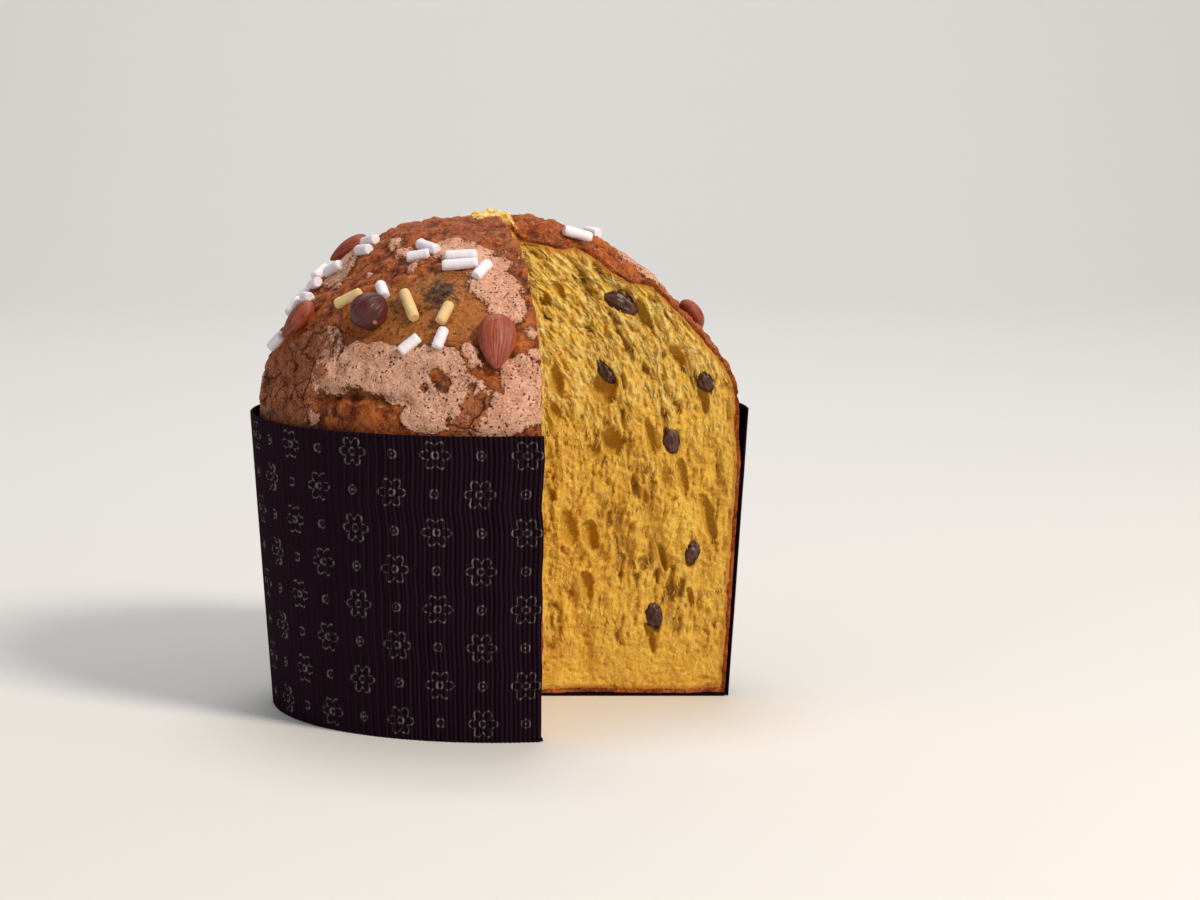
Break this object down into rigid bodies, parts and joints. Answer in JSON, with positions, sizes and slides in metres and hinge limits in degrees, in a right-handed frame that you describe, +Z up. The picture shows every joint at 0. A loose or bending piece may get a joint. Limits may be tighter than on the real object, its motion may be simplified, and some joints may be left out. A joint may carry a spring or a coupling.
{
  "type": "panettone",
  "caption": "Tall domed panettone in a fluted dark paper mould, with a wedge cut out, almonds, hazelnuts and pearl sugar on a glazed crust.",
  "frame": {"origin": "the loaf's axis where it meets the surface it stands on", "axes": "+Z up along the loaf's axis; the missing wedge lies between +X and -Y, one cut face along +X"},
  "size_m": [0.184, 0.184, 0.1791],
  "materials": {
    "crust_and_crumb": "baked crust, matte, with pale almond glaze; yellow crumb on the cuts",
    "case_paper": "dark fluted baking paper, matte",
    "almond_skin": "brown almond skin, matte",
    "hazelnut_skin": "dark hazelnut skin, satin",
    "raisin": "dark wrinkled raisin, satin"
  },
  "bodies": {
    "root": {"bread": "crust_and_crumb", "case_wall": "case_paper", "case_base": "case_paper", "almond_1": "almond_skin", "almond_2": "almond_skin", "almond_3": "almond_skin", "almond_4": "almond_skin", "almond_5": "almond_skin", "almond_6": "almond_skin", "almond_7": "almond_skin", "almond_8": "almond_skin", "almond_9": "almond_skin", "almond_10": "almond_skin", "hazelnut_1": "hazelnut_skin", "hazelnut_2": "hazelnut_skin", "hazelnut_3": "hazelnut_skin", "hazelnut_4": "hazelnut_skin", "raisin_back_cut_1": "raisin", "raisin_back_cut_2": "raisin", "raisin_back_cut_3": "raisin", "raisin_back_cut_4": "raisin", "raisin_back_cut_5": "raisin", "raisin_back_cut_6": "raisin", "raisin_front_cut_1": "raisin", "raisin_front_cut_2": "raisin", "raisin_front_cut_3": "raisin", "raisin_front_cut_4": "raisin", "raisin_front_cut_5": "raisin", "raisin_front_cut_6": "raisin", "raisin_front_cut_7": "raisin", "raisin_front_cut_8": "raisin"}
  },
  "joints": []
}
